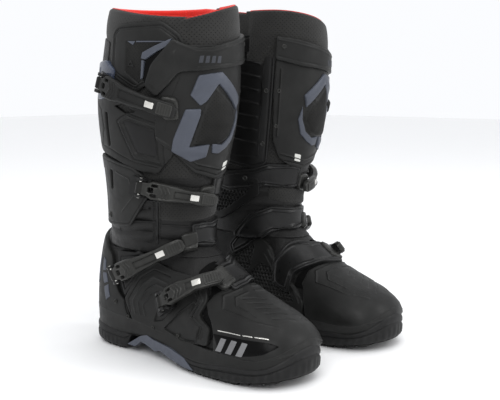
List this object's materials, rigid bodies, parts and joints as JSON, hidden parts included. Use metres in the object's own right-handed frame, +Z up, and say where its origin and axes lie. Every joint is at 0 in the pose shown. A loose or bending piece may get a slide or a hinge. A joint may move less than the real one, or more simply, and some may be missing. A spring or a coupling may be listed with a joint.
{
  "type": "pair of riding boots",
  "caption": "Pair of motocross riding boots with moulded shells, a soft ankle, over-centre buckles and a shin plate that swings open as the entry flap.",
  "frame": {"origin": "on the floor, midway between the two boots, at the centre of the pair's length", "axes": "+Z up, toes towards -Y, the right boot at -X and the left boot at +X"},
  "size_m": [0.3358, 0.3123, 0.4005],
  "materials": {
    "sole_rubber": "matte moulded",
    "grey_plastic": "satin",
    "steel": "brushed",
    "insole_foam": "textile over foam",
    "leather": "fine grain",
    "shell_plastic": "fine spark texture",
    "grip_rubber": "matte",
    "buckle_metal": "dark anodised, satin",
    "strap_plastic": "satin",
    "suede": "suede",
    "lining_red": "mesh textile"
  },
  "bodies": {
    "right_foot": {"right_outsole": "sole_rubber", "right_arch_insert": "grey_plastic", "right_shank": "steel", "right_insole": "insole_foam", "right_vamp": "leather", "right_toe_cap": "shell_plastic", "right_heel_counter": "shell_plastic", "right_lateral_guard": "shell_plastic", "right_medial_guard": "grip_rubber", "right_foot_buckle_bases": "buckle_metal", "right_foot_pins": "steel", "right_foot_catches": "buckle_metal", "right_foot_straps": "strap_plastic"},
    "right_leg": {"right_collar": "suede", "right_lining": "lining_red", "right_rear_spine": "shell_plastic", "right_lateral_shell": "shell_plastic", "right_top_panel": "shell_plastic", "right_medial_shell": "grip_rubber", "right_leg_buckle_bases": "buckle_metal", "right_leg_pins": "steel", "right_calf_strap": "strap_plastic", "right_ankle_gaiter": "leather"},
    "right_flap": {"right_shin_plate": "shell_plastic", "right_top_band": "shell_plastic", "right_flap_catch": "buckle_metal"},
    "right_top_lever": {"right_top_lever": "buckle_metal"},
    "right_calf_lever": {"right_calf_lever": "buckle_metal"},
    "right_ankle_lever": {"right_ankle_lever": "buckle_metal"},
    "right_instep_lever": {"right_instep_lever": "buckle_metal"},
    "left_foot": {"left_outsole": "sole_rubber", "left_arch_insert": "grey_plastic", "left_shank": "steel", "left_insole": "insole_foam", "left_vamp": "leather", "left_toe_cap": "shell_plastic", "left_heel_counter": "shell_plastic", "left_lateral_guard": "shell_plastic", "left_medial_guard": "grip_rubber", "left_foot_buckle_bases": "buckle_metal", "left_foot_pins": "steel", "left_foot_catches": "buckle_metal", "left_foot_straps": "strap_plastic"},
    "left_leg": {"left_collar": "suede", "left_lining": "lining_red", "left_rear_spine": "shell_plastic", "left_lateral_shell": "shell_plastic", "left_top_panel": "shell_plastic", "left_medial_shell": "grip_rubber", "left_leg_buckle_bases": "buckle_metal", "left_leg_pins": "steel", "left_calf_strap": "strap_plastic", "left_ankle_gaiter": "leather"},
    "left_flap": {"left_shin_plate": "shell_plastic", "left_top_band": "shell_plastic", "left_flap_catch": "buckle_metal"},
    "left_top_lever": {"left_top_lever": "buckle_metal"},
    "left_calf_lever": {"left_calf_lever": "buckle_metal"},
    "left_ankle_lever": {"left_ankle_lever": "buckle_metal"},
    "left_instep_lever": {"left_instep_lever": "buckle_metal"}
  },
  "joints": [
    {"name": "right_ankle_flex", "type": "hinge", "parent": "right_foot", "child": "right_leg", "pos_m": [-0.084, 0.078, 0.118], "axis": [1, 0, 0], "range_deg": [-4, 10], "stiffness_Nm_per_rad": 25, "deforming": ["right_ankle_gaiter"]},
    {"name": "right_shin_flap_open", "type": "hinge", "parent": "right_leg", "child": "right_flap", "pos_m": [-0.027, 0.003, 0.28], "axis": [0, 0, 1], "range_deg": [0, 28]},
    {"name": "right_top_buckle", "type": "hinge", "parent": "right_leg", "child": "right_top_lever", "pos_m": [-0.15968, 0.08016, 0.313], "axis": [-0.06, 0.2947, -0.9537], "range_deg": [0, 112]},
    {"name": "right_calf_buckle", "type": "hinge", "parent": "right_leg", "child": "right_calf_lever", "pos_m": [-0.14971, 0.02932, 0.199], "axis": [-0.1496, 0.1169, -0.9818], "range_deg": [0, 112]},
    {"name": "right_ankle_buckle", "type": "hinge", "parent": "right_foot", "child": "right_ankle_lever", "pos_m": [-0.146, 0.08, 0.094], "axis": [0.1778, -0.3893, -0.9038], "range_deg": [0, 112]},
    {"name": "right_instep_buckle", "type": "hinge", "parent": "right_foot", "child": "right_instep_lever", "pos_m": [-0.144, 0.004, 0.074], "axis": [-0.2662, -0.5552, -0.7879], "range_deg": [0, 112]},
    {"name": "left_ankle_flex", "type": "hinge", "parent": "left_foot", "child": "left_leg", "pos_m": [0.084, 0.078, 0.118], "axis": [1, 0, 0], "range_deg": [-4, 10], "stiffness_Nm_per_rad": 25, "deforming": ["left_ankle_gaiter"]},
    {"name": "left_shin_flap_open", "type": "hinge", "parent": "left_leg", "child": "left_flap", "pos_m": [0.027, 0.003, 0.28], "axis": [0, 0, -1], "range_deg": [0, 28]},
    {"name": "left_top_buckle", "type": "hinge", "parent": "left_leg", "child": "left_top_lever", "pos_m": [0.15968, 0.08016, 0.313], "axis": [-0.06, -0.2947, 0.9537], "range_deg": [0, 112]},
    {"name": "left_calf_buckle", "type": "hinge", "parent": "left_leg", "child": "left_calf_lever", "pos_m": [0.14971, 0.02932, 0.199], "axis": [-0.1496, -0.1169, 0.9818], "range_deg": [0, 112]},
    {"name": "left_ankle_buckle", "type": "hinge", "parent": "left_foot", "child": "left_ankle_lever", "pos_m": [0.146, 0.08, 0.094], "axis": [0.1778, 0.3893, 0.9038], "range_deg": [0, 112]},
    {"name": "left_instep_buckle", "type": "hinge", "parent": "left_foot", "child": "left_instep_lever", "pos_m": [0.144, 0.004, 0.074], "axis": [-0.2662, 0.5552, 0.7879], "range_deg": [0, 112]},
    {"name": "boot_spacing", "type": "slide", "parent": "right_foot", "child": "left_foot", "axis": [1, 0, 0], "range_m": [0, 0.15]}
  ],
  "couplings": [
    {"joint": "right_top_buckle", "follows": "right_shin_flap_open", "ratio": 4},
    {"joint": "left_top_buckle", "follows": "left_shin_flap_open", "ratio": 4}
  ]
}
